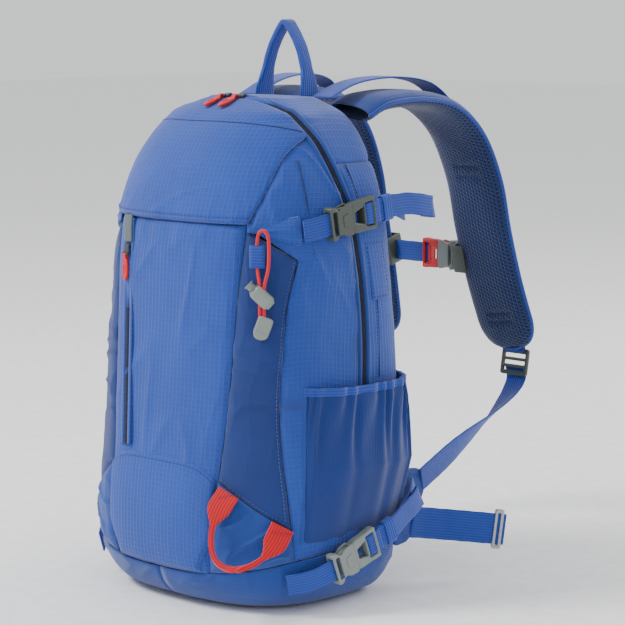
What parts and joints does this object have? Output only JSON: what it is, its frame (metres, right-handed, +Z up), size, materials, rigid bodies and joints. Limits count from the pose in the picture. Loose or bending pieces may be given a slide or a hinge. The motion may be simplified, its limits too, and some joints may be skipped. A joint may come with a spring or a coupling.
{
  "type": "daypack",
  "caption": "Rounded hiking daypack with padded shoulder straps, an arched main zip, side stretch pockets, compression straps with side-release buckles and a tool loop.",
  "frame": {"origin": "centre of the flat base, on the ground", "axes": "+X to the side with the tool loop, -Y to the front of the pack, +Y towards the wearer, +Z up"},
  "size_m": [0.3394, 0.4256, 0.5272],
  "materials": {
    "ripstop_blue": "light blue small-square ripstop",
    "plain_blue": "plain woven blue",
    "navy_fabric": "dark navy plain weave",
    "stretch_navy": "ribbed stretch knit",
    "spacer_mesh": "spacer mesh with small holes",
    "pad_fabric": "woven fabric over foam",
    "webbing_blue": "ribbed webbing",
    "red_webbing": "red ribbed webbing and elastic",
    "zip_tape": "dark zip tape with a coil",
    "grey_ribbon": "grey ribbon",
    "lining": "light grey lining",
    "buckle_dark": "moulded acetal, fine texture",
    "buckle_grey": "moulded acetal, fine texture",
    "red_plastic": "moulded red",
    "slider_grey": "painted die cast",
    "frame_white": "extruded sheet",
    "glide_metal": "satin"
  },
  "bodies": {
    "bag": {"base_plate": "plain_blue", "base_wrap": "plain_blue", "front_panel": "ripstop_blue", "lower_patch": "ripstop_blue", "hood_panel": "ripstop_blue", "top_yoke": "ripstop_blue", "back_panel": "navy_fabric", "corner_panel_right": "navy_fabric", "corner_panel_left": "navy_fabric", "lower_corner_right": "plain_blue", "lower_corner_left": "plain_blue", "side_panel_right": "ripstop_blue", "side_panel_left": "ripstop_blue", "gusset_right": "ripstop_blue", "gusset_left": "ripstop_blue", "bottle_pocket_right": "stretch_navy", "bottle_pocket_left": "stretch_navy", "frame_sheet": "frame_white", "hydration_sleeve": "lining", "back_pads": "spacer_mesh", "main_zip": "zip_tape", "pocket_zip": "zip_tape", "pocket_zip_garage": "grey_ribbon", "haul_loop": "webbing_blue", "shoulder_pad_right": "pad_fabric", "shoulder_pad_left": "pad_fabric", "load_lifters": "webbing_blue", "strap_webbing_right": "webbing_blue", "strap_webbing_left": "webbing_blue", "anchor_wings": "plain_blue", "upper_webbing": "webbing_blue", "upper_socket_right": "buckle_dark", "upper_socket_left": "buckle_dark", "lower_webbing": "webbing_blue", "lower_socket_right": "buckle_grey", "lower_socket_left": "buckle_grey", "waist_belts": "webbing_blue", "axe_loop": "red_webbing", "pole_tab": "webbing_blue", "pole_bungee": "red_webbing"},
    "main_slider_right": {"main_slider_right": "slider_grey"},
    "main_puller_right": {"main_puller_right": "red_plastic"},
    "main_slider_left": {"main_slider_left": "slider_grey"},
    "main_puller_left": {"main_puller_left": "red_plastic"},
    "pocket_slider": {"pocket_slider": "slider_grey"},
    "pocket_puller": {"pocket_puller": "red_plastic"},
    "upper_plug_right": {"upper_plug_right": "buckle_dark"},
    "lower_plug_right": {"lower_plug_right": "buckle_grey"},
    "ladder_lock_right": {"ladder_lock_right": "buckle_dark"},
    "waist_glide_right": {"waist_glide_right": "glide_metal"},
    "upper_plug_left": {"upper_plug_left": "buckle_dark"},
    "lower_plug_left": {"lower_plug_left": "buckle_grey"},
    "ladder_lock_left": {"ladder_lock_left": "buckle_dark"},
    "waist_glide_left": {"waist_glide_left": "glide_metal"},
    "sternum_strap": {"sternum_slides": "buckle_grey", "sternum_webbing": "webbing_blue", "sternum_socket": "buckle_grey"},
    "sternum_plug": {"sternum_plug": "red_plastic"},
    "cord_lock": {"cord_lock": "buckle_grey"},
    "cord_lock_button": {"cord_lock_button": "buckle_grey"}
  },
  "joints": [
    {"name": "main_zip_right", "type": "hinge", "parent": "bag", "child": "main_slider_right", "pos_m": [0, 0.02825, 0.275], "axis": [0, 0.9701, 0.2425], "range_deg": [0, 19]},
    {"name": "main_puller_swing_right", "type": "hinge", "parent": "main_slider_right", "child": "main_puller_right", "pos_m": [0.00933, -0.02403, 0.45857], "axis": [-0.9988, -0.0118, 0.0474], "range_deg": [0, 110]},
    {"name": "main_zip_left", "type": "hinge", "parent": "bag", "child": "main_slider_left", "pos_m": [0, 0.02825, 0.275], "axis": [0, -0.9701, -0.2425], "range_deg": [0, 19]},
    {"name": "main_puller_swing_left", "type": "hinge", "parent": "main_slider_left", "child": "main_puller_left", "pos_m": [-0.00933, -0.02403, 0.45857], "axis": [-0.9988, 0.0118, -0.0474], "range_deg": [0, 110]},
    {"name": "pocket_zip_run", "type": "slide", "parent": "bag", "child": "pocket_slider", "axis": [0.0567, -0.0934, -0.994], "range_m": [0, 0.145]},
    {"name": "pocket_puller_swing", "type": "hinge", "parent": "pocket_slider", "child": "pocket_puller", "pos_m": [-0.05538, -0.10262, 0.31438], "axis": [-0.977, 0.2, -0.0745], "range_deg": [0, 100]},
    {"name": "upper_buckle_right", "type": "slide", "parent": "bag", "child": "upper_plug_right", "axis": [0.0689, 0.9853, 0.1564], "range_m": [0, 0.022]},
    {"name": "lower_buckle_right", "type": "slide", "parent": "bag", "child": "lower_plug_right", "axis": [0.0655, 0.9374, 0.342], "range_m": [0, 0.022]},
    {"name": "ladder_lock_tilt_right", "type": "hinge", "parent": "bag", "child": "ladder_lock_right", "pos_m": [0.091, 0.29, 0.196], "axis": [1, 0, 0], "range_deg": [-12, 20]},
    {"name": "waist_glide_slide_right", "type": "slide", "parent": "bag", "child": "waist_glide_right", "axis": [0.6385, 0.7609, -0.1155], "range_m": [-0.036, 0]},
    {"name": "upper_buckle_left", "type": "slide", "parent": "bag", "child": "upper_plug_left", "axis": [-0.0689, 0.9853, 0.1564], "range_m": [0, 0.022]},
    {"name": "lower_buckle_left", "type": "slide", "parent": "bag", "child": "lower_plug_left", "axis": [-0.0655, 0.9374, 0.342], "range_m": [0, 0.022]},
    {"name": "ladder_lock_tilt_left", "type": "hinge", "parent": "bag", "child": "ladder_lock_left", "pos_m": [-0.091, 0.29, 0.196], "axis": [1, 0, 0], "range_deg": [-12, 20]},
    {"name": "waist_glide_slide_left", "type": "slide", "parent": "bag", "child": "waist_glide_left", "axis": [-0.6385, 0.7609, -0.1155], "range_m": [-0.036, 0]},
    {"name": "sternum_height", "type": "slide", "parent": "bag", "child": "sternum_strap", "axis": [0, 0.2696, -0.963], "range_m": [-0.02, 0.02]},
    {"name": "sternum_buckle", "type": "slide", "parent": "sternum_strap", "child": "sternum_plug", "axis": [-1, 0, 0], "range_m": [0, 0.015]},
    {"name": "cord_lock_slide", "type": "slide", "parent": "bag", "child": "cord_lock", "axis": [0, 0, -1], "range_m": [0, 0.005]},
    {"name": "cord_lock_press", "type": "slide", "parent": "cord_lock", "child": "cord_lock_button", "axis": [0.5772, 0.4491, -0.682], "range_m": [0, 0.0022], "stiffness_N_per_m": 300}
  ]
}
